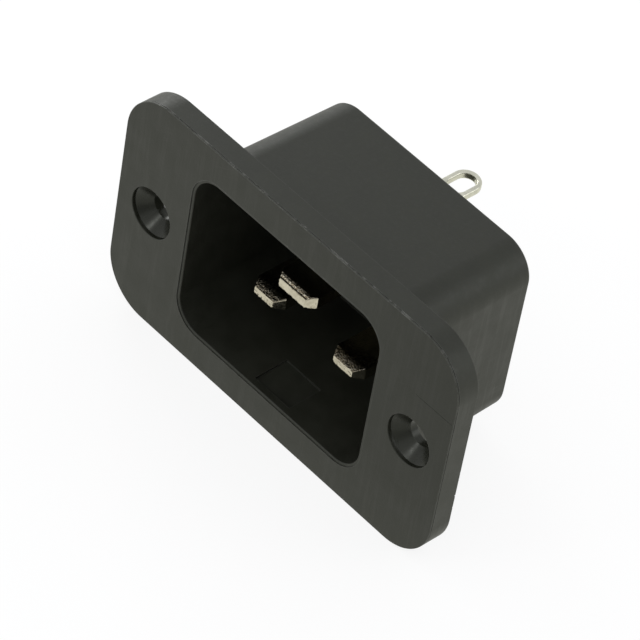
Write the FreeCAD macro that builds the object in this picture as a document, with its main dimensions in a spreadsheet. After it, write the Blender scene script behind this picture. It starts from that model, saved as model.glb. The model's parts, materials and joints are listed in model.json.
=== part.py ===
"""Screw-mounted panel inlet with three flat blades: one moulded housing and its terminals.

Frame: X along the flange, Y into the panel, Z up towards the earth blade.
The origin is the centre of the flange's mounting face. All sizes are in millimetres,
and every depth is measured from the flange's front face.
"""
import FreeCAD, Part
import Sketcher
import os

from FreeCAD import Placement, Rotation, Vector

SIZES = [
    # flange and its two countersunk screw holes
    ("flange_length", 50.4),
    ("flange_height", 29.5),
    ("flange_thickness", 2.8),
    ("flange_corner_radius", 5.9),
    ("flange_edge_radius", 0.35),
    ("screw_spacing", 40.0),
    ("screw_hole_diameter", 3.2),
    ("countersink_diameter", 6.0),
    ("countersink_step", 0.5),
    # shell behind the flange, drawn out of its mould with a slight draft
    ("shell_length", 31.2),
    ("shell_height", 24.1),
    ("shell_corner_radius", 4.0),
    ("shell_drop", 0.6),
    ("shell_depth", 20.1),
    ("shell_edge_radius", 0.4),
    ("draft_angle", 0.9),
    # cavity that takes the plug
    ("cavity_length", 28.1),
    ("cavity_height", 20.8),
    ("cavity_corner_radius", 3.3),
    ("cavity_rise", 0.2),
    ("cavity_depth", 16.5),
    ("mouth_ledge_width", 0.35),
    ("mouth_ledge_depth", 0.1),
    ("mouth_radius", 0.2),
    # ramped notch in the lower wall, where a locking plug catches
    ("notch_width", 5.4),
    ("notch_start", 1.2),
    ("notch_run", 4.5),
    ("notch_front_sink", 0.9),
    ("notch_back_sink", 0.15),
    # blades
    ("blade_pitch", 12.35),
    ("live_row_drop", 3.4),
    ("earth_rise", 3.8),
    ("live_blade_width", 4.5),
    ("earth_blade_width", 5.5),
    ("blade_thickness", 1.7),
    ("blade_edge_radius", 0.2),
    ("live_tip_depth", 4.2),
    ("earth_tip_depth", 1.4),
    ("tip_bevel_run", 1.2),
    ("tip_side_inset", 0.8),
    ("tip_flat_inset", 0.4),
    # solder tails
    ("tail_width", 3.4),
    ("tail_thickness", 0.9),
    ("tail_reach", 7.2),
    ("tail_eye_width", 2.2),
    ("tail_eye_length", 3.5),
    ("tail_eye_wall", 0.6),
    ("earth_tail_step", 2.75),
    ("step_thickness", 1.2),
    # seats of the terminals in the cavity floor
    ("seat_wall", 1.2),
    ("seat_clearance", 0.05),
]

doc = FreeCAD.newDocument("panel_inlet")
sheet = doc.addObject("Spreadsheet::Sheet", "sizes")
for row, (name, value) in enumerate(SIZES, start=1):
    sheet.set(f"A{row}", name)
    sheet.set(f"B{row}", str(value))
    sheet.setAlias(f"B{row}", name)
doc.recompute()


def size(name):
    """The present value of one named size."""
    return float(sheet.get(name))


def bind(target, path, formula):
    """Bind a property to a formula in which each named size stands by its plain name."""
    words = formula.replace("(", " ( ").replace(")", " ) ").split()
    names = {name for name, _ in SIZES}
    target.setExpression(path, " ".join("sizes." + w if w in names else w for w in words))


def new_body(label):
    """An empty body whose label names its file."""
    body = doc.addObject("PartDesign::Body", label)
    body.Label = label
    return body


def new_sketch(body, name, plane, offset=None):
    """A sketch on one of the body's origin planes, moved along its axes by formulas."""
    sketch = body.newObject("Sketcher::SketchObject", name)
    support = next(f for f in body.Origin.OriginFeatures if f.Role == plane)
    sketch.AttachmentSupport = (support, "")
    sketch.MapMode = "FlatFace"
    for axis, formula in (offset or {}).items():
        bind(sketch, f"AttachmentOffset.Base.{axis}", formula)
    return sketch


def dimension(sketch, name, constraint, formula):
    """Add one named dimension to a sketch and bind it to a formula."""
    index = sketch.addConstraint(constraint)
    sketch.renameConstraint(index, name)
    bind(sketch, f"Constraints.{name}", formula)


def rounded_rectangle(sketch, length, height, radius, name="frame", x="0", z="0"):
    """A rectangle with four equal round corners, centred at x, z; all five are formulas."""
    first = sketch.GeometryCount
    # a start that is near enough for the solver; the dimensions set the real shape
    a, b, r = 10.0, 8.0, 2.0
    corners = [(a, -b), (a, b), (-a, b), (-a, -b)]
    for (x1, z1), (x2, z2) in zip([corners[3]] + corners[:3], corners):
        dx, dz = (x2 > x1) - (x2 < x1), (z2 > z1) - (z2 < z1)
        start = Vector(x1 + r * dx, z1 + r * dz, 0)
        end = Vector(x2 - r * dx, z2 - r * dz, 0)
        sketch.addGeometry(Part.LineSegment(start, end), False)
    quarter = 1.5707963267948966
    for turn, (cx, cz) in enumerate(corners):
        centre = Vector(cx - r * (1 if cx > 0 else -1), cz - r * (1 if cz > 0 else -1), 0)
        circle = Part.Circle(centre, Vector(0, 0, 1), r)
        arc = Part.ArcOfCircle(circle, (turn - 1) * quarter, turn * quarter)
        sketch.addGeometry(arc, False)
    line = [first + i for i in range(4)]
    arc = [first + 4 + i for i in range(4)]
    for i in range(4):
        sketch.addConstraint(Sketcher.Constraint("Tangent", line[i], 2, arc[i], 1))
        sketch.addConstraint(Sketcher.Constraint("Tangent", arc[i], 2, line[(i + 1) % 4], 1))
        sketch.addConstraint(Sketcher.Constraint("Vertical" if i % 2 else "Horizontal", line[i]))
    for i in range(1, 4):
        sketch.addConstraint(Sketcher.Constraint("Equal", arc[0], arc[i]))
    dimension(sketch, name + "_radius", Sketcher.Constraint("Radius", arc[0], r), radius)
    dimension(sketch, name + "_length",
              Sketcher.Constraint("DistanceX", line[3], 1, line[1], 1, 2 * a), length)
    dimension(sketch, name + "_height",
              Sketcher.Constraint("DistanceY", line[0], 1, line[2], 1, 2 * b), height)
    dimension(sketch, name + "_right",
              Sketcher.Constraint("DistanceX", -1, 1, line[1], 1, a), f"( {length} ) / 2 + {x}")
    dimension(sketch, name + "_top",
              Sketcher.Constraint("DistanceY", -1, 1, line[2], 1, b), f"( {height} ) / 2 + {z}")


def polygon(sketch, points):
    """A closed outline whose corners are given as pairs of formulas and rough places."""
    count = len(points)
    rough = [Vector(x, y, 0) for _, _, x, y in points]
    for i in range(count):
        sketch.addGeometry(Part.LineSegment(rough[i], rough[(i + 1) % count]), False)
    for i in range(count):
        sketch.addConstraint(Sketcher.Constraint("Coincident", i, 2, (i + 1) % count, 1))
    for i, (across, along, x, y) in enumerate(points):
        dimension(sketch, f"corner{i}_across", Sketcher.Constraint("DistanceX", -1, 1, i, 1, x), across)
        dimension(sketch, f"corner{i}_along", Sketcher.Constraint("DistanceY", -1, 1, i, 1, y), along)


def extrude(body, kind, name, sketch, length, reverse=False, both_ways=False, taper=None):
    """A pad or pocket of a sketch, with its length and taper bound to formulas."""
    feature = body.newObject("PartDesign::" + kind, name)
    feature.Profile = sketch
    feature.Reversed = reverse
    if both_ways:
        feature.SideType = "Symmetric"
    bind(feature, "Length", length)
    if taper:
        bind(feature, "TaperAngle", taper)
    sketch.Visibility = False
    doc.recompute()
    return feature


def edges_at_depth(feature, depth, window=None):
    """Names of the edges that lie in one plane across the part, inside an optional box."""
    y = depth - size("flange_thickness")
    names = []
    for index, edge in enumerate(feature.Shape.Edges, start=1):
        box = edge.BoundBox
        in_plane = abs(box.YMin - y) < 1e-4 and abs(box.YMax - y) < 1e-4
        if in_plane and (window is None or window.isInside(box)):
            names.append(f"Edge{index}")
    return names


def dress(body, kind, name, base, edges, path, formula):
    """A fillet or chamfer of the named edges of the feature before it."""
    feature = body.newObject("PartDesign::" + kind, name)
    feature.Base = (base, edges)
    bind(feature, path, formula)
    doc.recompute()
    return feature


# ---------------------------------------------------------------- housing

def housing():
    """Flange, shell, cavity, floor and every hole in them: one moulding."""
    body = new_body("housing")

    outline = new_sketch(body, "flange_outline", "XZ_Plane")
    rounded_rectangle(outline, "flange_length", "flange_height", "flange_corner_radius")
    flange = extrude(body, "Pad", "flange", outline, "flange_thickness")
    rim = dress(body, "Fillet", "flange_rim", flange, edges_at_depth(flange, 0.0),
                "Radius", "flange_edge_radius")

    outline = new_sketch(body, "shell_outline", "XZ_Plane")
    rounded_rectangle(outline, "shell_length", "shell_height", "shell_corner_radius",
                      z="( 0 - shell_drop )")
    shell = extrude(body, "Pad", "shell", outline, "shell_depth - flange_thickness",
                    reverse=True, taper="0 - draft_angle")
    dress(body, "Fillet", "shell_rear_edge", shell, edges_at_depth(shell, size("shell_depth")),
          "Radius", "shell_edge_radius")

    cavity(body)
    notch(body)
    screw_holes(body)
    terminal_seats(body)
    return body


def cavity(body):
    """Drafted cavity behind a shallow ledge that frames its mouth."""
    ledge = new_sketch(body, "ledge_outline", "XZ_Plane", {"z": "flange_thickness"})
    rounded_rectangle(ledge, "cavity_length + 2 * mouth_ledge_width",
                      "cavity_height + 2 * mouth_ledge_width",
                      "cavity_corner_radius + mouth_ledge_width", z="cavity_rise")
    extrude(body, "Pocket", "mouth_ledge", ledge, "mouth_ledge_depth")

    outline = new_sketch(body, "cavity_outline", "XZ_Plane", {"z": "flange_thickness"})
    rounded_rectangle(outline, "cavity_length", "cavity_height", "cavity_corner_radius",
                      z="cavity_rise")
    bowl = extrude(body, "Pocket", "cavity", outline, "cavity_depth", taper="0 - draft_angle")
    half_length, half_height = size("cavity_length") / 2, size("cavity_height") / 2
    rise, depth = size("cavity_rise"), size("mouth_ledge_depth")
    window = FreeCAD.BoundBox(-half_length, -size("shell_depth"), rise - half_height,
                              half_length, size("shell_depth"), rise + half_height)
    dress(body, "Fillet", "mouth_lip", bowl, edges_at_depth(bowl, depth, window),
          "Radius", "mouth_radius")


def notch(body):
    """Ramp sunk into the cavity's lower wall: deep at its front shoulder, shallow behind."""
    side = new_sketch(body, "notch_side", "YZ_Plane")
    wall = "cavity_rise - cavity_height / 2"
    front = "notch_start - flange_thickness"
    back = "notch_start + notch_run - flange_thickness"
    inside = wall + " + notch_front_sink"
    polygon(side, [
        (front, inside, 0.0, -9.0),
        (front, wall + " - notch_front_sink", 0.0, -11.0),
        (back, wall + " - notch_back_sink", 4.0, -10.5),
        (back, inside, 4.0, -9.0),
    ])
    extrude(body, "Pocket", "plug_notch", side, "notch_width", both_ways=True)


def screw_holes(body):
    """Two countersunk holes: short straight step, 90 degree cone, plain bore."""
    profile = new_sketch(body, "screw_profile", "XY_Plane", {"x": "screw_spacing / 2"})
    front = "0 - flange_thickness"
    cone = "( countersink_diameter - screw_hole_diameter ) / 2"
    polygon(profile, [
        ("0", front + " - 1", 0.0, -4.0),
        ("countersink_diameter / 2", front + " - 1", 3.0, -4.0),
        ("countersink_diameter / 2", front + " + countersink_step", 3.0, -2.4),
        ("screw_hole_diameter / 2", front + " + countersink_step + " + cone, 1.7, -1.0),
        ("screw_hole_diameter / 2", "1", 1.7, 1.0),
        ("0", "1", 0.0, 1.0),
    ])
    hole = body.newObject("PartDesign::Groove", "screw_hole")
    hole.Profile = profile
    hole.ReferenceAxis = (profile, ["V_Axis"])
    hole.Angle = 360.0
    profile.Visibility = False
    doc.recompute()
    pair = body.newObject("PartDesign::Mirrored", "screw_holes")
    pair.Originals = [hole]
    middle = next(f for f in body.Origin.OriginFeatures if f.Role == "YZ_Plane")
    pair.MirrorPlane = (middle, [""])
    body.Tip = pair
    doc.recompute()


def terminal_seats(body):
    """Slots in the floor that hold each blade, its earth step and its tail."""
    gap = "2 * seat_clearance"
    radius = "blade_edge_radius + seat_clearance"
    places = [
        ("line", "live_blade_width", "( 0 - blade_pitch / 2 )", "( 0 - live_row_drop )", "0"),
        ("neutral", "live_blade_width", "blade_pitch / 2", "( 0 - live_row_drop )", "0"),
        ("earth", "earth_blade_width", "0", "earth_rise", "earth_tail_step"),
    ]
    blades = new_sketch(body, "blade_slots", "XZ_Plane", {"z": "flange_thickness - cavity_depth"})
    tails = new_sketch(body, "tail_slots", "XZ_Plane", {"z": "flange_thickness - shell_depth"})
    for name, width, x, z, step in places:
        rounded_rectangle(blades, f"{width} + {gap}", f"blade_thickness + {gap}", radius,
                          name, x, z)
        rounded_rectangle(tails, f"tail_width + {gap}", f"tail_thickness + {gap}",
                          "seat_clearance", name, x, f"{z} + {step}")
    extrude(body, "Pocket", "blade_seats", blades, "shell_depth - seat_wall - cavity_depth")
    extrude(body, "Pocket", "tail_seats", tails, "seat_wall", reverse=True)

    step = new_sketch(body, "step_slot", "XZ_Plane",
                      {"z": "flange_thickness - shell_depth + seat_wall + step_thickness"})
    height = "blade_thickness / 2 + earth_tail_step + tail_thickness / 2"
    rounded_rectangle(step, f"tail_width + {gap}", f"{height} + {gap}", radius, "step", "0",
                      f"earth_rise - blade_thickness / 2 + ( {height} ) / 2")
    extrude(body, "Pocket", "step_seat", step, "step_thickness")


# ---------------------------------------------------------------- terminals

def terminal(label, width, tip_depth, x, z, step=None):
    """One contact: bevelled blade in front, flat tail with an oval solder eye behind.

    Its own frame has X and Z on the blade's centre line and Y as in the whole part.
    """
    body = new_body(label)
    neck = f"{tip_depth} + tip_bevel_run"

    full = new_sketch(body, label + "_section", "XZ_Plane", {"z": f"flange_thickness - ( {neck} )"})
    rounded_rectangle(full, width, "blade_thickness", "blade_edge_radius")
    extrude(body, "Pad", label + "_blade", full, f"shell_depth - seat_wall - ( {neck} )",
            reverse=True)

    wide = new_sketch(body, label + "_bevel_root", "XZ_Plane",
                      {"z": f"flange_thickness - ( {neck} )"})
    rounded_rectangle(wide, width, "blade_thickness", "blade_edge_radius")
    narrow = new_sketch(body, label + "_tip", "XZ_Plane", {"z": f"flange_thickness - {tip_depth}"})
    rounded_rectangle(narrow, f"{width} - 2 * tip_side_inset", "blade_thickness - 2 * tip_flat_inset",
                      "blade_edge_radius")
    bevel = body.newObject("PartDesign::AdditiveLoft", label + "_bevel")
    bevel.Profile = wide
    bevel.Sections = [narrow]
    bevel.Ruled = True
    wide.Visibility = False
    narrow.Visibility = False
    doc.recompute()

    if step:
        riser = new_sketch(body, label + "_step_outline", "XZ_Plane",
                           {"z": "flange_thickness - shell_depth + seat_wall + step_thickness"})
        height = f"blade_thickness / 2 + {step} + tail_thickness / 2"
        rounded_rectangle(riser, "tail_width", height, "blade_edge_radius", "step", "0",
                          f"( {height} ) / 2 - blade_thickness / 2")
        extrude(body, "Pad", label + "_step", riser, "step_thickness", reverse=True)

    plan = new_sketch(body, label + "_tail_plan", "XY_Plane", {"z": step} if step else None)
    tail_outline(plan)
    extrude(body, "Pad", label + "_tail", plan, "tail_thickness", both_ways=True)

    bind(body, "Placement.Base.x", x)
    bind(body, "Placement.Base.z", z)
    return body


def tail_outline(sketch):
    """Strip with a full round end and an oval eye whose round end follows the strip's."""
    half, root, end = 2.0, 16.0, 22.0
    turn = 3.141592653589793
    up, level = Vector(0, 0, 1), Vector(0, end, 0)
    left, right = Vector(-half, root, 0), Vector(half, root, 0)
    sketch.addGeometry(Part.LineSegment(left, right), False)
    sketch.addGeometry(Part.LineSegment(right, Vector(half, end, 0)), False)
    sketch.addGeometry(Part.ArcOfCircle(Part.Circle(level, up, half), 0, turn), False)
    sketch.addGeometry(Part.LineSegment(Vector(-half, end, 0), left), False)
    for constraint in (
        ("Coincident", 0, 2, 1, 1), ("Tangent", 1, 2, 2, 1),
        ("Tangent", 2, 2, 3, 1), ("Coincident", 3, 2, 0, 1),
        ("Horizontal", 0), ("Vertical", 1), ("Vertical", 3), ("PointOnObject", 2, 3, -2),
    ):
        sketch.addConstraint(Sketcher.Constraint(*constraint))
    near, far, small = end - 1.0, end, half / 2
    sketch.addGeometry(Part.LineSegment(Vector(small, near, 0), Vector(small, far, 0)), False)
    sketch.addGeometry(Part.ArcOfCircle(Part.Circle(Vector(0, far, 0), up, small), 0, turn), False)
    sketch.addGeometry(Part.LineSegment(Vector(-small, far, 0), Vector(-small, near, 0)), False)
    sketch.addGeometry(
        Part.ArcOfCircle(Part.Circle(Vector(0, near, 0), up, small), turn, 2 * turn), False)
    for constraint in (
        ("Tangent", 4, 2, 5, 1), ("Tangent", 5, 2, 6, 1), ("Tangent", 6, 2, 7, 1),
        ("Tangent", 7, 2, 4, 1), ("Vertical", 4), ("Equal", 5, 7), ("PointOnObject", 5, 3, -2),
    ):
        sketch.addConstraint(Sketcher.Constraint(*constraint))
    back = "shell_depth - flange_thickness"
    dimension(sketch, "root", Sketcher.Constraint("DistanceY", -1, 1, 0, 1, root),
              f"{back} - seat_wall")
    dimension(sketch, "half_width", Sketcher.Constraint("Radius", 2, half), "tail_width / 2")
    dimension(sketch, "end_centre", Sketcher.Constraint("DistanceY", -1, 1, 2, 3, end),
              f"{back} + tail_reach - tail_width / 2")
    dimension(sketch, "eye_radius", Sketcher.Constraint("Radius", 5, small), "tail_eye_width / 2")
    dimension(sketch, "eye_end", Sketcher.Constraint("DistanceY", -1, 1, 5, 3, far),
              f"{back} + tail_reach - tail_eye_wall - tail_eye_width / 2")
    dimension(sketch, "eye_run", Sketcher.Constraint("DistanceY", 7, 3, 5, 3, far - near),
              "tail_eye_length - tail_eye_width")


# ---------------------------------------------------------------- build and write

pieces = [
    housing(),
    terminal("line_blade", "live_blade_width", "live_tip_depth",
             "0 - blade_pitch / 2", "0 - live_row_drop"),
    terminal("neutral_blade", "live_blade_width", "live_tip_depth",
             "blade_pitch / 2", "0 - live_row_drop"),
    terminal("earth_blade", "earth_blade_width", "earth_tip_depth",
             "0", "earth_rise", step="earth_tail_step"),
]
doc.recompute()

for item in doc.Objects:
    if "Invalid" in item.State or "Error" in item.State:
        raise RuntimeError(f"{item.Label} failed: {item.State}")
    if item.TypeId == "Sketcher::SketchObject" and not item.FullyConstrained:
        raise RuntimeError(f"{item.Label} is not fully constrained")
for piece in pieces:
    if piece.Shape.isNull() or not piece.Shape.isValid():
        raise RuntimeError(f"{piece.Label} has no valid shape")

os.makedirs("parts", exist_ok=True)
for piece in pieces:
    piece.Shape.exportStep(f"parts/{piece.Label}.step")
    print(piece.Label, "solids", len(piece.Shape.Solids), "volume", round(piece.Shape.Volume, 2))
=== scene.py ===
import json
import math

import bmesh
import bpy
from mathutils import Matrix, Vector


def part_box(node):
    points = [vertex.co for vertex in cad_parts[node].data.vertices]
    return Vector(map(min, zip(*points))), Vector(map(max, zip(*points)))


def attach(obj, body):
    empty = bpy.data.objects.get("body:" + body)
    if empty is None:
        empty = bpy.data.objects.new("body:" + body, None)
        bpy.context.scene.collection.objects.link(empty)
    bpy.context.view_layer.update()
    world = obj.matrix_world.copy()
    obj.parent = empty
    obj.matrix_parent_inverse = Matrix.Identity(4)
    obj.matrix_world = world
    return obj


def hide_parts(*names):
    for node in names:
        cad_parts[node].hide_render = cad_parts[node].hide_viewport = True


# Looks of a screw-mounted panel inlet: one matt black moulding and three plated contacts.
# The scene is in metres, in the part's own frame: X along the flange, Y into the panel, Z up
# towards the earth contact. The named sizes below are in millimetres.

MM = 0.001

# ways of working
FACING = 0.9                        # part of a normal along Y that counts as facing front or rear
OVERCUT = 1.0                       # how far a cutter stands clear of what it cuts
TOUCH = 0.01                        # how near counts as in the same place
SAME_POINT = 0.002                  # how near points are merged
CUT_THRESHOLD = 0.001               # how near a cut snaps to points that are there
STRAIGHT = math.radians(0.3)        # turn below which an edge is dissolved
RIDGE_TURN = math.radians(40)       # turn from which an edge is a ridge
SMOOTH_TURN = math.radians(32)      # turn up to which shading is smooth
RIM_SEGMENTS = 2
EDGE_SEGMENTS = 4

# moulding
FLANGE_CORNER = 5.9
FLANGE_SEGMENTS = 24
FRONT_RIM = 0.05
BACK_RIM = 0.02
WITNESS_START = 0.16
WITNESS_WIDTH = 0.08
WITNESS_DEPTH = 0.06
SHELL_LENGTH = 31.2
SHELL_HEIGHT = 24.1
SHELL_DROP = 0.6
SHELL_CORNER = 4.0
SHELL_SEGMENTS = 20
SHELL_REAR_EDGE = 0.4
DRAFT = math.radians(0.9)
CAVITY_LENGTH = 28.2
CAVITY_HEIGHT = 20.9
CAVITY_CORNER = 3.3
CAVITY_SEGMENTS = 20
CAVITY_FLOOR_EDGE = 0.15
CAVITY_CENTRE = -0.13
CAVITY_RISE = -0.05
CAVITY_DEPTH = 16.5
LEDGE_WIDTH = 0.35
LEDGE_DEPTH = 0.1
MOUTH_LIP = 0.14
NOTCH_WIDTH = 5.4
NOTCH_START = 0.98
NOTCH_RUN = 4.5
NOTCH_FRONT_SINK = 0.9
NOTCH_BACK_SINK = 0.15
NOTCH_BLEND_SINK = 0.04
NOTCH_LEFT_SINK = 0.35
NOTCH_CENTRE = 0.15
COUNTERSINK_RADIUS = 3.0
COUNTERSINK_STEP = 0.5
HOLE_SEGMENTS = 96
HOLE_LIP = 0.1
LIP_SEGMENTS = 3
RIM_TOUCH = 0.03
FLASH_THICKNESS = 0.12
FLASH_RADIUS = 1.38
FLASH_SHIFT = (0.1, 0, 0.15)
SCRATCH_START = 19.7
SCRATCH_END = 25.0
SCRATCH_LEVEL = 6.5
SCRATCH_WIDTH = 0.045
SCRATCH_DEPTH = 0.03
SCRATCH_CLEAR = 0.1
NICKS = ((-5.3, 0.16), (-7.0, 0.1), (-1.9, 0.09))    # level and size of each
NICK_REACH = 0.6                    # how far a nick goes in, and its length, as parts of its size
NICK_LENGTH = 1.3
NICK_CLEAR = 0.2
SEAT_WALL = 1.2
SEAT_GAP = 0.05

# contacts
BLADE_THICKNESS = 1.7
BEVEL_RUN = 1.2
TIP_SIDE_INSET = 0.8
TIP_FLAT_INSET = 0.4
COINED_RIM = 0.22
COINED_STEPS = ((0.5, 0.38), (0.2, 0.28), (0.05, 0.14), (0.0, 0.0))    # back and rise of each
COINED_HALF = 2.5                   # a blade with a greater half width is coined
BLADE_EDGE = 0.2
TUMBLED_REACH = 2.0
TUMBLED_FADE = 0.8
TUMBLED_CELL = 0.1
TUMBLED_DENT = 0.05
TUMBLED_ROUNDS = 3
TUMBLED_RUB = 0.5
COINED_DENT = 0.08
COINED_ROUNDS = 1
DENT_SCALE = 0.45
FINE_DENT = 0.07
FINE_SCALE = 0.2
DENT_DETAIL = 2
DENT_MIDDLE = 0.7
SIDE_DENT = 0.3
SIDE_FACING = 0.3
STEP_THICKNESS = 1.2
TAIL_WIDTH = 3.4
TAIL_THICKNESS = 0.9
TAIL_OVERLAP = 0.5
TAIL_EDGE = 0.2
TAIL_SEGMENTS = 16
EYE_WIDTH = 2.2
EYE_LENGTH = 3.5
EYE_WALL = 0.6

# colours and finishes
PLASTIC = (0.0135, 0.0141, 0.0096, 1)
PLASTIC_PALE = (0.0178, 0.0186, 0.0129, 1)
PLASTIC_STREAK = (0.0180, 0.0184, 0.0138, 1)
# pale colour of rubbed edges, partly a painted highlight line
PLASTIC_RUBBED_AND_SHEEN = (0.085, 0.085, 0.078, 1)
# painted glints
PLASTIC_PAINTED_GLINT = (0.28, 0.28, 0.26, 1)
PLASTIC_TINT = (0.97, 1.0, 0.93, 1)
RUB_AND_GLINT_LEVEL = (7.0, 12.0)         # edges are rubbed, and painted glints laid, most above these levels
RUB_AND_GLINT_DEPTH = (0.8, 1.8)          # and in front of these depths behind the face
# the third value of each finish scales its rubbed edges and its painted glints
MOULDED_FINISHES = {
    "moulded_plastic": {"roughness": 0.5, "grain_depth": 0.012, "wear": 1.0, "index": 1.47},
    "pin_moulded_plastic": {"roughness": 0.3, "grain_depth": 0.003, "wear": 0.25, "index": 1.42},
}
NICKEL = (0.66, 0.615, 0.50, 1)
NICKEL_DULL = (0.52, 0.475, 0.375, 1)
# painted shade of the up-facing bevels
NICKEL_PIT_SHADE = (0.21, 0.165, 0.10, 1)
# painted shade around the neck
NICKEL_NECK_SHADE = (0.10, 0.09, 0.075, 1)
NICKEL_RUBBED = (0.74, 0.66, 0.47, 1)
TIN = (0.72, 0.71, 0.60, 1)
TIN_DULL = (0.58, 0.575, 0.48, 1)
NICKEL_ROUGHNESS = 0.09
NICKEL_GRAIN_DEPTH = 0.024

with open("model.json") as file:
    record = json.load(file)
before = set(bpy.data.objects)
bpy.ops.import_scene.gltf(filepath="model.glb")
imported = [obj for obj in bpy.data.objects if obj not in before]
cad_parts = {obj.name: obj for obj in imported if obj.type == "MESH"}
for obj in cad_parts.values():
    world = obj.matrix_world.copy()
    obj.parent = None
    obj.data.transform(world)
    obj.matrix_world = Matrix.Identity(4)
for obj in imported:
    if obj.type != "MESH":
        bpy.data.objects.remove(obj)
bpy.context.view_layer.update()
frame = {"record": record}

record = frame["record"]
screws = next(m for m in record["mounts"] if m["name"] == "panel_screws")["dims"]
low, high = (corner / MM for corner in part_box("housing"))
FRONT = low.y
FLANGE_LENGTH = high.x - low.x
FLANGE_HEIGHT = high.z - low.z
REAR = high.y


# ---------------------------------------------------------------- bench tools

def deselect():
    """Nothing selected, in object mode."""
    bpy.ops.object.select_all(action="DESELECT")


def take(piece):
    """Make one piece the only selected and active one."""
    deselect()
    bpy.context.view_layer.objects.active = piece
    piece.select_set(True)


def opened(piece, kind):
    """Open a piece in edit mode with nothing selected; kind is VERT, EDGE or FACE."""
    take(piece)
    bpy.ops.object.mode_set(mode="EDIT")
    bpy.ops.mesh.select_mode(type=kind)
    bpy.ops.mesh.select_all(action="DESELECT")


def closed():
    """Back to object mode."""
    bpy.ops.object.mode_set(mode="OBJECT")


def pick(piece, kind, wanted):
    """Select the verts, edges or faces of an open piece that are wanted."""
    mesh = bmesh.from_edit_mesh(piece.data)
    mesh.normal_update()
    for item in getattr(mesh, kind):
        if wanted(item):
            item.select_set(True)
    bmesh.update_edit_mesh(piece.data)


def middle(item):
    """Middle of an edge or face, in millimetres."""
    points = [corner.co for corner in item.verts]
    return sum(points, Vector()) / len(points) / MM


def runs_along(edge, axis):
    """Whether an edge runs along one axis."""
    span = edge.verts[1].co - edge.verts[0].co
    return abs(span[axis]) > 0.99 * span.length


def in_plane(edge, axis, place):
    """Whether an edge lies in a plane across one axis, at a place in millimetres."""
    return all(abs(corner.co[axis] / MM - place) < TOUCH for corner in edge.verts)


def is_ridge(edge):
    """Whether the two faces beside an edge meet at a sharp turn."""
    return len(edge.link_faces) == 2 and edge.calc_face_angle() > RIDGE_TURN


def faces_front(face):
    """Whether a face looks out of the panel."""
    return face.normal.y < -FACING


def faces_rear(face):
    """Whether a face looks into the panel."""
    return face.normal.y > FACING


def block(name, start, end):
    """A cuboid between two corners given in millimetres."""
    start, end = Vector(start) * MM, Vector(end) * MM
    deselect()
    bpy.ops.mesh.primitive_cube_add(size=1.0, location=(start + end) / 2)
    piece = bpy.context.object
    piece.name = piece.data.name = name
    piece.scale = end - start
    bpy.ops.object.transform_apply(location=True, rotation=False, scale=True)
    return piece


def round_edges(piece, wanted, radius, segments):
    """Round the wanted edges with an arc."""
    opened(piece, "EDGE")
    pick(piece, "edges", wanted)
    bpy.ops.mesh.bevel(offset=radius * MM, segments=segments, affect="EDGES", clamp_overlap=True)
    closed()


def round_block(name, start, end, radius, segments, axis=1):
    """A cuboid whose four edges along one axis are round."""
    piece = block(name, start, end)
    round_edges(piece, lambda e: runs_along(e, axis), radius, segments)
    return piece


def slice_open(axis, place):
    """Cut new edges all round the open piece, across one axis at a place in millimetres."""
    normal = tuple(float(axis == i) for i in range(3))
    bpy.ops.mesh.select_all(action="SELECT")
    bpy.ops.mesh.bisect(plane_co=tuple(place * MM * part for part in normal),
                        plane_no=normal, threshold=CUT_THRESHOLD * MM)


def pull_faces(piece, wanted, step=(0, 0, 0), scale=(1, 1, 1), centre=(0, 0, 0), grow=False):
    """Move and scale the wanted faces; grow extrudes them first. Lengths are in millimetres."""
    opened(piece, "FACE")
    pick(piece, "faces", wanted)
    if grow:
        bpy.ops.mesh.extrude_region_move()
    bpy.ops.transform.translate(value=Vector(step) * MM)
    bpy.ops.transform.resize(value=scale, center_override=(Vector(centre) + Vector(step)) * MM)
    closed()


def narrow_back(piece, start, half_length, half_height, depth, centre_z):
    """Draw the rear end of a round block in by the draft of its depth."""
    shrink = depth * math.tan(DRAFT)
    pull_faces(piece, faces_rear, centre=(0, start + depth, centre_z),
               scale=(1 - shrink / half_length, 1, 1 - shrink / half_height))


def combine(piece, other, operation):
    """Join another piece to this one, or cut its form out of it."""
    take(piece)
    bpy.ops.object.modifier_add(type="BOOLEAN")
    change = piece.modifiers[-1]
    change.operation = operation
    change.solver = "EXACT"
    change.object = other
    bpy.ops.object.modifier_apply(modifier=change.name)
    bpy.data.objects.remove(other)


def tidy(piece):
    """Merge doubles and dissolve points that no corner needs."""
    opened(piece, "VERT")
    bpy.ops.mesh.select_all(action="SELECT")
    bpy.ops.mesh.remove_doubles(threshold=SAME_POINT * MM)
    bpy.ops.mesh.dissolve_limited(angle_limit=STRAIGHT)
    closed()


def smooth(piece):
    """Smooth shading, with flat faces kept flat beside their rounded edges."""
    take(piece)
    bpy.ops.object.shade_smooth_by_angle(angle=SMOOTH_TURN)
    bpy.ops.object.modifier_add(type="WEIGHTED_NORMAL")
    weights = piece.modifiers[-1]
    weights.keep_sharp = True
    bpy.ops.object.modifier_apply(modifier=weights.name)


# ---------------------------------------------------------------- moulding

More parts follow.
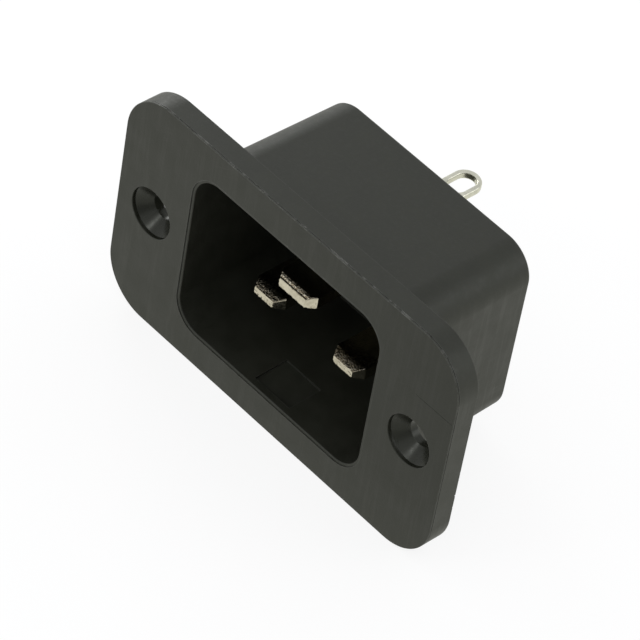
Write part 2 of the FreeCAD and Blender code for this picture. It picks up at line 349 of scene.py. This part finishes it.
def flange_and_shell():
    """The flange with its round rim, and the drafted shell behind it."""
    flange = round_block("housing_moulding", (-FLANGE_LENGTH / 2, FRONT, -FLANGE_HEIGHT / 2),
                         (FLANGE_LENGTH / 2, 0, FLANGE_HEIGHT / 2), FLANGE_CORNER,
                         FLANGE_SEGMENTS)
    round_edges(flange, lambda e: in_plane(e, 1, FRONT), FRONT_RIM, RIM_SEGMENTS)
    round_edges(flange, lambda e: in_plane(e, 1, 0), BACK_RIM, RIM_SEGMENTS)
    witness_line(flange)

    half_length, half_height = SHELL_LENGTH / 2, SHELL_HEIGHT / 2
    shell = round_block("shell", (-half_length, 0, -half_height - SHELL_DROP),
                        (half_length, REAR, half_height - SHELL_DROP), SHELL_CORNER,
                        SHELL_SEGMENTS)
    narrow_back(shell, 0, half_length, half_height, REAR, -SHELL_DROP)
    round_edges(shell, lambda e: in_plane(e, 1, REAR), SHELL_REAR_EDGE, EDGE_SEGMENTS)
    pull_faces(shell, faces_front, step=(0, FRONT / 2, 0), grow=True)
    combine(flange, shell, "UNION")
    return flange


def witness_line(flange):
    """Fine groove round the flange where the halves of the mould meet."""
    start = FRONT + WITNESS_START
    for place in (start, start + WITNESS_WIDTH):
        opened(flange, "FACE")
        slice_open(1, place)
        closed()
    pull_faces(flange, lambda f: start < middle(f).y < start + WITNESS_WIDTH, grow=True,
               scale=(1 - 2 * WITNESS_DEPTH / FLANGE_LENGTH, 1,
                      1 - 2 * WITNESS_DEPTH / FLANGE_HEIGHT))


def cut_cavity(housing):
    """The shallow ledge, the plug's cavity behind it and the rounded lip between them."""
    half_length, half_height = CAVITY_LENGTH / 2, CAVITY_HEIGHT / 2
    left, right = CAVITY_CENTRE - half_length, CAVITY_CENTRE + half_length
    low_wall, high_wall = CAVITY_RISE - half_height, CAVITY_RISE + half_height
    ledge = round_block("ledge", (left - LEDGE_WIDTH, FRONT - OVERCUT, low_wall - LEDGE_WIDTH),
                        (right + LEDGE_WIDTH, FRONT + LEDGE_DEPTH, high_wall + LEDGE_WIDTH),
                        CAVITY_CORNER + LEDGE_WIDTH, CAVITY_SEGMENTS)
    combine(housing, ledge, "DIFFERENCE")

    core = round_block("core", (left, FRONT, low_wall),
                       (right, FRONT + CAVITY_DEPTH, high_wall), CAVITY_CORNER, CAVITY_SEGMENTS)
    narrow_back(core, FRONT, half_length, half_height, CAVITY_DEPTH, CAVITY_RISE)
    round_edges(core, lambda e: in_plane(e, 1, FRONT + CAVITY_DEPTH), CAVITY_FLOOR_EDGE,
                RIM_SEGMENTS)
    pull_faces(core, faces_front, step=(0, -OVERCUT, 0), grow=True)
    combine(housing, core, "DIFFERENCE")
    tidy(housing)
    round_edges(housing, lambda e: (in_plane(e, 1, FRONT + LEDGE_DEPTH)
                                    and is_ridge(e) and e.is_convex), MOUTH_LIP, EDGE_SEGMENTS)


def cut_notch(housing):
    """Ramp in the lower wall of the cavity, deep in front and shallow behind and on the left."""
    wall = CAVITY_RISE - CAVITY_HEIGHT / 2
    start = FRONT + NOTCH_START
    half_way = start + NOTCH_RUN / 2
    left = NOTCH_CENTRE - NOTCH_WIDTH / 2
    ramp = block("ramp", (left, start, wall - NOTCH_FRONT_SINK),
                 (left + NOTCH_WIDTH, start + NOTCH_RUN, wall + NOTCH_FRONT_SINK))
    opened(ramp, "EDGE")
    pick(ramp, "edges", lambda e: (runs_along(e, 0) and middle(e).z < wall
                                   and middle(e).y > half_way))
    bpy.ops.transform.translate(value=(0, 0, (NOTCH_FRONT_SINK - NOTCH_BACK_SINK) * MM))
    closed()
    for behind, rise in ((True, NOTCH_BACK_SINK - NOTCH_BLEND_SINK),
                         (False, NOTCH_FRONT_SINK - NOTCH_LEFT_SINK)):
        opened(ramp, "VERT")
        pick(ramp, "verts", lambda v: (v.co.x < 0 and v.co.z / MM < wall
                                       and (v.co.y / MM > half_way) == behind))
        bpy.ops.transform.translate(value=(0, 0, rise * MM))
        closed()
    combine(housing, ramp, "DIFFERENCE")


def cut_screw_hole(housing, x):
    """Straight step, cone and bore of one countersunk hole; the left one keeps some flash."""
    bore = screws["hole_r_mm"]
    cone = COUNTERSINK_RADIUS - bore
    flashed = x < 0
    deselect()
    top, foot = FRONT - OVERCUT, FRONT + COUNTERSINK_STEP
    bpy.ops.mesh.primitive_cylinder_add(
        vertices=HOLE_SEGMENTS, radius=COUNTERSINK_RADIUS * MM, depth=(foot - top) * MM,
        location=(x * MM, (top + foot) / 2 * MM, 0), rotation=(math.pi / 2, 0, 0))
    drill = bpy.context.object
    bpy.ops.object.transform_apply(location=True, rotation=True, scale=True)
    shrink = bore / COUNTERSINK_RADIUS
    pull_faces(drill, faces_rear, step=(0, cone, 0), centre=(x, foot, 0),
               scale=(shrink, 1, shrink), grow=True)
    bottom = -FLASH_THICKNESS if flashed else OVERCUT
    pull_faces(drill, faces_rear, step=(0, bottom - foot - cone, 0), grow=True)
    if flashed:
        shrink = FLASH_RADIUS / bore
        pull_faces(drill, faces_rear, centre=(x, bottom, 0), scale=(shrink, 1, shrink), grow=True)
        pull_faces(drill, faces_rear, step=FLASH_SHIFT)
        pull_faces(drill, faces_rear, step=(0, OVERCUT, 0), grow=True)
    combine(housing, drill, "DIFFERENCE")
    round_edges(housing, lambda e: (in_plane(e, 1, FRONT) and all(
        abs(math.hypot(v.co.x / MM - x, v.co.z / MM) - COUNTERSINK_RADIUS) < RIM_TOUCH
        for v in e.verts)), HOLE_LIP, LIP_SEGMENTS)


def in_screw_hole(face):
    """Whether a face is the step, the cone or the bore of a screw hole."""
    place = middle(face)
    from_axis = math.hypot(abs(place.x) - screws["spacing_x_mm"] / 2, place.z)
    return (from_axis < COUNTERSINK_RADIUS + 2 * TOUCH
            and FRONT + TOUCH < place.y < -TOUCH)


def scratch_face(housing):
    """One thin scratch near the upper right corner of the face."""
    groove = block("groove", (SCRATCH_START, FRONT - SCRATCH_CLEAR, SCRATCH_LEVEL),
                   (SCRATCH_END, FRONT + SCRATCH_DEPTH, SCRATCH_LEVEL + SCRATCH_WIDTH))
    combine(housing, groove, "DIFFERENCE")


def nick_edge(housing):
    """Small nicks in the back edge of the flange's right side."""
    edge = FLANGE_LENGTH / 2
    for z, size in NICKS:
        nick = block("nick", (edge - size * NICK_REACH, -size, z),
                     (edge + NICK_CLEAR, NICK_CLEAR, z + size * NICK_LENGTH))
        combine(housing, nick, "DIFFERENCE")


def cut_seats(housing):
    """Slots through the floor of the cavity for the contacts."""
    floor = FRONT + CAVITY_DEPTH
    shoulder = REAR - SEAT_WALL
    for node in CONTACTS.values():
        start, end = (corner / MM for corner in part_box(node))
        x = (start.x + end.x) / 2
        half = (end.x - start.x) / 2 + SEAT_GAP
        blade_top = start.z + BLADE_THICKNESS
        slot = round_block("slot", (x - half, floor - OVERCUT, start.z - SEAT_GAP),
                           (x + half, shoulder, blade_top + SEAT_GAP), BLADE_EDGE + SEAT_GAP,
                           EDGE_SEGMENTS)
        combine(housing, slot, "DIFFERENCE")
        tail = TAIL_WIDTH / 2 + SEAT_GAP
        tail_low, tail_high = tail_levels(start, end)
        slot = block("slot", (x - tail, shoulder - TAIL_OVERLAP, tail_low - SEAT_GAP),
                     (x + tail, REAR + OVERCUT, tail_high + SEAT_GAP))
        combine(housing, slot, "DIFFERENCE")


def tail_levels(start, end):
    """Lowest and highest level of a contact's tail, from the contact's box."""
    stepped = end.z - start.z > 2 * BLADE_THICKNESS
    centre = end.z - TAIL_THICKNESS / 2 if stepped else (start.z + end.z) / 2
    return centre - TAIL_THICKNESS / 2, centre + TAIL_THICKNESS / 2


def housing():
    """The whole moulding."""
    piece = flange_and_shell()
    cut_cavity(piece)
    cut_notch(piece)
    for side in (-1, 1):
        cut_screw_hole(piece, side * screws["spacing_x_mm"] / 2)
    cut_seats(piece)
    scratch_face(piece)
    nick_edge(piece)
    tidy(piece)
    smooth(piece)
    for finish_name, values in MOULDED_FINISHES.items():
        piece.data.materials.append(moulded_plastic(finish_name, **values))
    opened(piece, "FACE")
    pick(piece, "faces", in_screw_hole)
    piece.active_material_index = 1
    bpy.ops.object.material_slot_assign()
    closed()
    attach(piece, "root")
    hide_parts("housing")


# ---------------------------------------------------------------- contacts

CONTACTS = {"line_contact": "line_blade", "neutral_contact": "neutral_blade",
            "earth_contact": "earth_blade"}


def point_tip(piece, x, z, neck, half, coined):
    """Bevel the front of a blade; a coined one steps down to a low rim around its end face."""
    thick = BLADE_THICKNESS / 2
    tip, slope = neck - BEVEL_RUN, TIP_SIDE_INSET / BEVEL_RUN
    end_half, end_thick = half - TIP_SIDE_INSET, thick - TIP_FLAT_INSET
    levels = [(neck, half, thick)]
    if coined:
        levels += [(tip + COINED_RIM + back, end_half + slope * (COINED_RIM + back),
                    end_thick + rise) for back, rise in COINED_STEPS]
    levels.append((tip, end_half, end_thick))
    for before, after in zip(levels, levels[1:]):
        pull_faces(piece, faces_front, step=(0, after[0] - before[0], 0),
                   centre=(x, before[0], z),
                   scale=(after[1] / before[1], 1, after[2] / before[2]), grow=True)


def tumble(piece, neck, depth, rounds):
    """Soften and dent the end of a blade as a tumbling drum does; its right side stays flatter."""
    reach = neck + TUMBLED_REACH
    spans = [(0, *span(piece, 0)), (1, span(piece, 1)[0], reach), (2, *span(piece, 2))]
    opened(piece, "FACE")
    for axis, first, last in spans:
        place = first + TUMBLED_CELL / 2
        while place < last:
            slice_open(axis, place)
            place += TUMBLED_CELL
    closed()
    soft = piece.vertex_groups.new(name="tumbled")
    dented = piece.vertex_groups.new(name="dented")
    for corner in piece.data.vertices:
        near = max(0.0, min(1.0, (reach - corner.co.y / MM) / TUMBLED_FADE))
        soft.add([corner.index], near, "REPLACE")
        share = SIDE_DENT if corner.normal.x > SIDE_FACING else 1.0
        dented.add([corner.index], near * share, "REPLACE")
    take(piece)
    bpy.ops.object.modifier_add(type="SMOOTH")
    rub = piece.modifiers[-1]
    rub.factor, rub.iterations, rub.vertex_group = TUMBLED_RUB, rounds, "tumbled"
    bpy.ops.object.modifier_apply(modifier=rub.name)
    for scale, strength in ((DENT_SCALE, depth), (FINE_SCALE, FINE_DENT)):
        dents = bpy.data.textures.new("dents", "CLOUDS")
        dents.noise_scale = scale * MM
        dents.noise_depth = DENT_DETAIL
        bpy.ops.object.modifier_add(type="DISPLACE")
        dent = piece.modifiers[-1]
        dent.texture, dent.texture_coords = dents, "LOCAL"
        dent.strength, dent.mid_level = strength * MM, DENT_MIDDLE
        dent.vertex_group = "dented"
        bpy.ops.object.modifier_apply(modifier=dent.name)


def span(piece, axis):
    """Least and greatest place of a piece along one axis, in millimetres."""
    places = [corner.co[axis] / MM for corner in piece.data.vertices]
    return min(places), max(places)


def contact(name, node):
    """Bevelled blade, its tail with a solder eye and, on the earth, the step between them."""
    start, end = (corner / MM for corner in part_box(node))
    x = (start.x + end.x) / 2
    half = (end.x - start.x) / 2
    blade_z = start.z + BLADE_THICKNESS / 2
    neck, shoulder = start.y + BEVEL_RUN, REAR - SEAT_WALL
    piece = block(name, (x - half, neck, start.z), (x + half, shoulder, start.z + BLADE_THICKNESS))
    round_edges(piece, lambda e: runs_along(e, 1), BLADE_EDGE, EDGE_SEGMENTS)
    coined = half > COINED_HALF
    point_tip(piece, x, blade_z, neck, half, coined)
    tumble(piece, neck, COINED_DENT if coined else TUMBLED_DENT,
           COINED_ROUNDS if coined else TUMBLED_ROUNDS)

    tail_low, tail_high = tail_levels(start, end)
    tail = TAIL_WIDTH / 2
    strip = block("strip", (x - tail, shoulder - TAIL_OVERLAP, tail_low),
                  (x + tail, end.y, tail_high))
    round_edges(strip, lambda e: runs_along(e, 2) and middle(e).y > shoulder, tail - TOUCH,
                TAIL_SEGMENTS)
    eye_end = end.y - EYE_WALL
    eye = round_block("eye", (x - EYE_WIDTH / 2, eye_end - EYE_LENGTH, tail_low - OVERCUT),
                      (x + EYE_WIDTH / 2, eye_end, tail_high + OVERCUT), EYE_WIDTH / 2 - TOUCH,
                      TAIL_SEGMENTS, axis=2)
    combine(strip, eye, "DIFFERENCE")
    round_edges(strip, lambda e: is_ridge(e) and middle(e).y > shoulder, TAIL_EDGE,
                EDGE_SEGMENTS)
    if tail_high - start.z > 2 * BLADE_THICKNESS:
        riser = block("riser", (x - tail, shoulder - STEP_THICKNESS, start.z),
                      (x + tail, shoulder - TOUCH, tail_high))
        combine(piece, riser, "UNION")
    combine(piece, strip, "UNION")
    smooth(piece)
    piece.data.materials.append(nickel_plate(neck))
    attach(piece, "root")
    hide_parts(node)


# ---------------------------------------------------------------- finishes
# Lengths are in millimetres here, apart from the reach of edge masks in metres. Other bare numbers
# are shares and levels from 0 to 1, and scales of noise per millimetre.

def put(tree, kind, sockets=None, **settings):
    """Add a node; each of its named sockets takes a value or another node's output."""
    node = tree.nodes.new(kind)
    for name, value in settings.items():
        setattr(node, name, value)
    for name, value in (sockets or {}).items():
        if isinstance(value, bpy.types.NodeSocket):
            tree.links.new(value, node.inputs[name])
        else:
            node.inputs[name].default_value = value
    return node


def sums(tree, operation, first, second=0.0, clamp=False):
    """Output of one sum on two values."""
    return put(tree, "ShaderNodeMath", {0: first, 1: second}, operation=operation,
               use_clamp=clamp).outputs[0]


def ramp(tree, value, start, end, low_value=0.0, high_value=1.0):
    """A value spread smoothly between two levels."""
    return put(tree, "ShaderNodeMapRange", {
        "Value": value, "From Min": start, "From Max": end, "To Min": low_value,
        "To Max": high_value}, interpolation_type="SMOOTHSTEP").outputs["Result"]


def with_share(tree, level, operation, mask, share, clamp=False):
    """A level with a share of a mask added to it or subtracted from it."""
    return sums(tree, operation, level, sums(tree, "MULTIPLY", mask, share), clamp=clamp)


def blend(tree, amount, first, second):
    """Two colours mixed by a mask."""
    node = put(tree, "ShaderNodeMix", {0: amount, 6: first, 7: second}, data_type="RGBA")
    return node.outputs[2]


def stained(tree, base, stains):
    """A colour with stains laid over it in turn: each has a mask, a share and a colour."""
    for mask, share, colour in stains:
        base = blend(tree, sums(tree, "MULTIPLY", mask, share), base, colour)
    return base


def millimetres(tree, stretch=(1, 1, 1), shift=(0, 0, 0)):
    """Object coordinates in millimetres, stretched along each axis."""
    place = put(tree, "ShaderNodeTexCoord").outputs["Object"]
    scale = tuple(part / MM for part in stretch)
    return put(tree, "ShaderNodeMapping", {"Vector": place, "Scale": scale, "Location": shift}
               ).outputs["Vector"]


def noise(tree, place, scale, detail=2.0, roughness=0.5, distortion=0.0):
    """Level of a cloud pattern."""
    return put(tree, "ShaderNodeTexNoise", {
        "Vector": place, "Scale": scale, "Detail": detail, "Roughness": roughness,
        "Distortion": distortion}).outputs["Fac"]


def group(name, values, results):
    """An empty shader group: named values in, with their starts, and named results out."""
    tree = bpy.data.node_groups.new(name, "ShaderNodeTree")
    for label, start in values.items():
        socket = tree.interface.new_socket(name=label, in_out="INPUT",
                                           socket_type="NodeSocketFloat")
        socket.default_value = start
    for label in results:
        tree.interface.new_socket(name=label, in_out="OUTPUT", socket_type="NodeSocketFloat")
    return tree, tree.nodes.new("NodeGroupInput").outputs, tree.nodes.new("NodeGroupOutput").inputs


def use(tree, shared, **values):
    """Place a shared group in a material with its own values."""
    node = put(tree, "ShaderNodeGroup", node_tree=shared)
    for name, value in values.items():
        node.inputs[name.replace("_", " ")].default_value = value
    return node.outputs


def grain_group():
    """Fine pitted grain with wide, faint blotches."""
    tree, given, out = group("surface_grain", {"Grain Scale": 5.0, "Blotch Scale": 0.4},
                             ["Height", "Blotch"])
    place = millimetres(tree)
    fine = noise(tree, place, given["Grain Scale"], detail=2.0, roughness=0.6)
    coarse = noise(tree, place, sums(tree, "MULTIPLY", given["Grain Scale"], 0.37), detail=1.0)
    height = sums(tree, "ADD", sums(tree, "MULTIPLY", fine, 0.65),
                  sums(tree, "MULTIPLY", coarse, 0.35))
    tree.links.new(height, out["Height"])
    cloud = noise(tree, place, given["Blotch Scale"], detail=5.0, roughness=0.62)
    tree.links.new(ramp(tree, cloud, 0.32, 0.68), out["Blotch"])
    return tree


def broken_edges_group():
    """Broken-up edges: where the surface turns within a reach in metres, broken up along them;
    used for rubbed edges and for painted glints.
    """
    tree, given, out = group("edge_wear", {"Reach": 0.00012, "Breaks Scale": 1.2, "Start": 0.45},
                             ["Mask"])
    soft = put(tree, "ShaderNodeBevel", {"Radius": given["Reach"]}, samples=6).outputs["Normal"]
    flat = put(tree, "ShaderNodeNewGeometry").outputs["Normal"]
    turn = put(tree, "ShaderNodeVectorMath", {0: soft, 1: flat}, operation="DOT_PRODUCT")
    edge = ramp(tree, sums(tree, "SUBTRACT", 1.0, turn.outputs["Value"]), 0.01, 0.09)
    breaks = noise(tree, millimetres(tree), given["Breaks Scale"], detail=6.0, roughness=0.7)
    kept = ramp(tree, sums(tree, "SUBTRACT", breaks, given["Start"]), 0.0, 0.14)
    tree.links.new(sums(tree, "MULTIPLY", edge, kept), out["Mask"])
    return tree


def streak_group():
    """Long faint streaks that run down the part."""
    tree, given, out = group("draw_streaks", {"Width Scale": 1.5, "Start": 0.5}, ["Mask"])
    place = millimetres(tree, stretch=(1, 1, 0.06))
    lines = noise(tree, place, given["Width Scale"], detail=4.0, roughness=0.7)
    tree.links.new(ramp(tree, sums(tree, "SUBTRACT", lines, given["Start"]), 0.0, 0.16),
                   out["Mask"])
    return tree


def scratch_group():
    """Short hair scratches that lie two ways across each other."""
    tree, given, out = group("hair_scratches", {"Density": 0.62}, ["Mask"])
    masks = []
    for turn, shift in ((0.5, 0.0), (-0.9, 7.0)):
        place = put(tree, "ShaderNodeVectorRotate",
                    {"Vector": millimetres(tree, shift=(shift, shift, shift)), "Angle": turn},
                    rotation_type="Y_AXIS").outputs["Vector"]
        thin = put(tree, "ShaderNodeMapping", {"Vector": place, "Scale": (0.25, 0.25, 9.0)})
        lines = noise(tree, thin.outputs["Vector"], 0.9, detail=1.0, distortion=0.1)
        masks.append(ramp(tree, sums(tree, "SUBTRACT", lines, given["Density"]), 0.0, 0.05))
    tree.links.new(sums(tree, "MAXIMUM", masks[0], masks[1]), out["Mask"])
    return tree


GRAIN, BROKEN_EDGES, STREAKS, SCRATCHES = grain_group(), broken_edges_group(), streak_group(), scratch_group()


def finish(name):
    """A new material: its tree and its shader."""
    material = bpy.data.materials.new(name)
    material.use_nodes = True
    return material, material.node_tree, material.node_tree.nodes["Principled BSDF"]


def moulded_plastic(name, roughness, grain_depth, wear, index):
    """Black moulding: pitted grain, faint streaks and blotches, rubbed edges partly painted as a
    highlight line, and painted glints.
    """
    material, tree, shader = finish(name)
    grain = use(tree, GRAIN, Grain_Scale=4.5, Blotch_Scale=0.35)
    place = put(tree, "ShaderNodeSeparateXYZ", {0: millimetres(tree)}).outputs
    near, far = (FRONT + depth for depth in RUB_AND_GLINT_DEPTH)
    # where rubbed edges and painted glints are strongest: high up and near the face
    rub_and_glint_place = sums(tree, "MULTIPLY", ramp(tree, place["Z"], *RUB_AND_GLINT_LEVEL, 0.15 * wear, wear),
                   ramp(tree, place["Y"], near, far, 1.0, 0.1))
    # rubbed edges made paler: partly real wear, partly a painted highlight line along the rim
    paler_edges = use(tree, BROKEN_EDGES, Reach=0.00018, Breaks_Scale=1.4, Start=0.34)["Mask"]
    rub_and_sheen_share = sums(tree, "ADD", sums(tree, "MULTIPLY", rub_and_glint_place, 0.5), 0.3)
    paler_edges = sums(tree, "MULTIPLY", paler_edges, rub_and_sheen_share)
    # painted highlight: bright glints laid into the colour along edges
    painted_glints = use(tree, BROKEN_EDGES, Reach=0.00011, Breaks_Scale=1.0, Start=0.50)["Mask"]
    painted_glints = sums(tree, "MULTIPLY", painted_glints, rub_and_glint_place)
    drawn = use(tree, STREAKS, Width_Scale=1.6, Start=0.48)["Mask"]
    hairs = use(tree, SCRATCHES, Density=0.70)["Mask"]
    body = blend(tree, grain["Blotch"], PLASTIC, PLASTIC_PALE)
    body = stained(tree, body, ((drawn, 0.35, PLASTIC_STREAK), (paler_edges, 0.85, PLASTIC_RUBBED_AND_SHEEN),
                                (painted_glints, 0.7, PLASTIC_PAINTED_GLINT)))
    tree.links.new(body, shader.inputs["Base Color"])
    level = sums(tree, "ADD", sums(tree, "MULTIPLY", grain["Blotch"], 0.08), roughness - 0.04)
    level = with_share(tree, level, "SUBTRACT", drawn, 0.05)
    level = with_share(tree, level, "SUBTRACT", paler_edges, 0.16)
    level = with_share(tree, level, "SUBTRACT", hairs, 0.04, clamp=True)
    tree.links.new(level, shader.inputs["Roughness"])
    height = with_share(tree, grain["Height"], "SUBTRACT", hairs, 0.05)
    bump = put(tree, "ShaderNodeBump", {"Height": height, "Strength": 1.0,
                                        "Distance": grain_depth * MM})
    tree.links.new(bump.outputs["Normal"], shader.inputs["Normal"])
    shader.inputs["IOR"].default_value = index
    shader.inputs["Specular Tint"].default_value = PLASTIC_TINT
    return material


def nickel_plate(neck):
    """Nickel over brass strip, tinned on the tail; peened on the bevels in front, with painted
    shade on their up-facing pits and on an up-facing band around the neck.
    """
    material, tree, shader = finish("nickel_plate")
    grain = use(tree, GRAIN, Grain_Scale=2.6, Blotch_Scale=1.1)
    paler_edges = use(tree, BROKEN_EDGES, Reach=0.0001, Breaks_Scale=3.0, Start=0.45)["Mask"]
    hairs = use(tree, SCRATCHES, Density=0.68)["Mask"]
    metal = blend(tree, grain["Blotch"], NICKEL, NICKEL_DULL)
    depth = put(tree, "ShaderNodeSeparateXYZ", {0: millimetres(tree)}).outputs["Y"]
    tinned = ramp(tree, depth, REAR - 2, REAR - 1)
    facing = put(tree, "ShaderNodeNewGeometry").outputs["Normal"]
    upward = put(tree, "ShaderNodeSeparateXYZ", {0: facing}).outputs["Z"]
    upward = ramp(tree, upward, 0.2, 0.45)
    peened = sums(tree, "MULTIPLY", ramp(tree, depth, neck - 0.8, neck + 0.2, 1.0, 0.0), upward)
    pits = noise(tree, millimetres(tree), 5.0, detail=2.0, roughness=0.6)
    # painted shade: darker pits on the up-facing bevels
    pit_shade = sums(tree, "MULTIPLY", ramp(tree, pits, 0.48, 0.6, 1.0, 0.0), peened)
    # painted shade: a darker band on up-facing faces around the neck
    neck_shade = ramp(tree, depth, neck - 1.1, neck - 0.2)
    neck_shade = sums(tree, "MULTIPLY", neck_shade, ramp(tree, depth, neck + 0.5, neck + 2.0, 1.0, 0.0))
    neck_shade = sums(tree, "MULTIPLY", neck_shade, upward)
    dulled = ramp(tree, depth, neck - 0.4, neck + 1.0)
    tin = blend(tree, grain["Blotch"], TIN, TIN_DULL)
    metal = blend(tree, tinned, metal, tin)
    metal = stained(tree, metal, ((pit_shade, 0.85, NICKEL_PIT_SHADE), (neck_shade, 0.7, NICKEL_NECK_SHADE),
                                  (paler_edges, 0.4, NICKEL_RUBBED)))
    tree.links.new(metal, shader.inputs["Base Color"])
    shader.inputs["Metallic"].default_value = 1.0
    level = sums(tree, "ADD", sums(tree, "MULTIPLY", grain["Blotch"], 0.09), NICKEL_ROUGHNESS)
    level = with_share(tree, level, "ADD", tinned, 0.12)
    level = with_share(tree, level, "ADD", peened, 0.12)
    level = with_share(tree, level, "ADD", dulled, 0.04)
    level = with_share(tree, level, "ADD", hairs, 0.05, clamp=True)
    tree.links.new(level, shader.inputs["Roughness"])
    height = with_share(tree, grain["Height"], "SUBTRACT", hairs, 0.03)
    pits = sums(tree, "MULTIPLY", ramp(tree, pits, 0.35, 0.65), peened)
    height = with_share(tree, height, "ADD", pits, 1.3)
    rough = sums(tree, "ADD", tinned, peened)
    strength = sums(tree, "ADD", sums(tree, "MULTIPLY", rough, 0.68), 0.32)
    flat = sums(tree, "SUBTRACT", dulled, tinned, clamp=True)
    strength = with_share(tree, strength, "SUBTRACT", flat, 0.2)
    bump = put(tree, "ShaderNodeBump", {"Height": height, "Strength": strength,
                                        "Distance": NICKEL_GRAIN_DEPTH * MM})
    tree.links.new(bump.outputs["Normal"], shader.inputs["Normal"])
    return material


# ---------------------------------------------------------------- studio

LOOK_AT = Vector((-0.84, 4.77, -4.27)) * MM
VIEW_AZIMUTH = math.radians(40.56)
VIEW_ELEVATION = math.radians(43.92)
VIEW_ROLL = math.radians(-10.58)
VIEW_DISTANCE = 444.9 * MM
LENS = 240.0
SENSOR = 36.0
CLIP_START = 0.01
SKY = (0.99, 1.0, 1.02, 1)
SKY_LEVEL = 0.79
FLOOR_SIZE = 4.0
PAPER = (0.8, 0.8, 0.8, 1)
PAPER_ROUGHNESS = 0.9
PAPER_GLOW = (1, 1, 1, 1)
PAPER_MIRRORED = (1.0, 1.0, 0.92, 1)
PAPER_LEVEL = 1.07
PAPER_SHARE = 0.8
FLOOR_AHEAD = (-14, -2)             # ranges of the floor, in millimetres, where it falls off
FLOOR_RIGHT = (-32, 16)
FLOOR_FAR = (-90, -45)
FLOOR_FALL = 0.3
DARK_SIDE = (0.68, -0.72, 0.12)     # direction of the dark end of the room
DARK_EDGE = (0.90, 0.97)            # cosines of the turn away from it where it sets in
DARK_FALL = 0.5
# each lamp: where it stands seen from the part, distance and size in metres, power in watts
LAMPS = {
    "left": ((-0.85, 0.35, 0.40), 0.16, 0.06, 0.044),
    "right": ((0.70, 0.54, 0.47), 0.40, 0.20, 0.165),
    "spark": ((-0.26, -0.77, 0.58), 0.45, 0.10, 0.13),
}


def camera():
    """Long lens from above on the right, rolled a little."""
    towards = Vector((math.sin(VIEW_AZIMUTH) * math.cos(VIEW_ELEVATION),
                      -math.cos(VIEW_AZIMUTH) * math.cos(VIEW_ELEVATION),
                      math.sin(VIEW_ELEVATION)))
    data = bpy.data.cameras.new("camera")
    data.lens = LENS
    data.sensor_width = SENSOR
    data.clip_start = CLIP_START
    view = bpy.data.objects.new("camera", data)
    bpy.context.scene.collection.objects.link(view)
    turn = towards.to_track_quat("Z", "Y").to_matrix().to_4x4()
    place = Matrix.Translation(LOOK_AT + towards * VIEW_DISTANCE)
    view.matrix_world = place @ turn @ Matrix.Rotation(-VIEW_ROLL, 4, "Z")
    bpy.context.scene.camera = view


def lamp(name, direction, distance, size, power):
    """A soft square lamp that faces the part from one direction."""
    data = bpy.data.lights.new(name, "AREA")
    data.size = size
    data.energy = power
    towards = Vector(direction).normalized()
    light = bpy.data.objects.new(name, data)
    light.matrix_world = (Matrix.Translation(towards * distance)
                          @ towards.to_track_quat("Z", "Y").to_matrix().to_4x4())
    bpy.context.scene.collection.objects.link(light)


def seen(tree, straight, mirrored):
    """Level for rays that show a thing itself: straight ones, and mirrored or glass ones."""
    path = put(tree, "ShaderNodeLightPath").outputs
    bent = sums(tree, "ADD", path["Is Glossy Ray"], path["Is Transmission Ray"], clamp=True)
    return sums(tree, "ADD", sums(tree, "MULTIPLY", path["Is Camera Ray"], straight),
                sums(tree, "MULTIPLY", bent, mirrored))


def floor_glow(tree):
    """Level of the floor in mirrored rays: it falls off in front on the right and far ahead."""
    place = put(tree, "ShaderNodeSeparateXYZ", {0: millimetres(tree)}).outputs
    ahead = ramp(tree, place["Y"], *FLOOR_AHEAD, 1.0, 0.0)
    right = ramp(tree, place["X"], *FLOOR_RIGHT, 0.0, FLOOR_FALL)
    level = sums(tree, "SUBTRACT", 1.0, sums(tree, "MULTIPLY", ahead, right))
    return sums(tree, "SUBTRACT", level, ramp(tree, place["Y"], *FLOOR_FAR, DARK_FALL, 0.0))


def studio():
    """White surroundings that darken at one end of the room, soft lamps and a pale floor."""
    world = bpy.data.worlds.new("surroundings")
    world.use_nodes = True
    bpy.context.scene.world = world
    tree = world.node_tree
    sky = tree.nodes["Background"]
    sky.inputs["Color"].default_value = SKY
    towards = put(tree, "ShaderNodeTexCoord").outputs["Generated"]
    turn = put(tree, "ShaderNodeVectorMath", {0: towards, 1: DARK_SIDE}, operation="DOT_PRODUCT")
    dark = ramp(tree, turn.outputs["Value"], *DARK_EDGE, 0.0, -DARK_FALL)
    tree.links.new(sums(tree, "ADD", seen(tree, 1.0 - SKY_LEVEL, dark), SKY_LEVEL),
                   sky.inputs["Strength"])
    for name, settings in LAMPS.items():
        lamp(name, *settings)

    deselect()
    bpy.ops.mesh.primitive_plane_add(size=FLOOR_SIZE, location=(0, 0, low.z * MM))
    floor = bpy.context.object
    floor.name = "floor"
    paper, tree, shader = finish("floor_paper")
    shader.inputs["Base Color"].default_value = PAPER
    shader.inputs["Roughness"].default_value = PAPER_ROUGHNESS
    warm = blend(tree, seen(tree, 0.0, 1.0), PAPER_GLOW, PAPER_MIRRORED)
    white = put(tree, "ShaderNodeEmission", {
        "Color": warm, "Strength": seen(tree, PAPER_LEVEL, floor_glow(tree))})
    mixed = put(tree, "ShaderNodeMixShader", {0: seen(tree, PAPER_SHARE, PAPER_SHARE),
                                              1: shader.outputs[0], 2: white.outputs[0]})
    tree.links.new(mixed.outputs[0], tree.nodes["Material Output"].inputs["Surface"])
    floor.data.materials.append(paper)
    bpy.context.scene.view_settings.view_transform = "Standard"


housing()
for name, node in CONTACTS.items():
    contact(name, node)
camera()
studio()
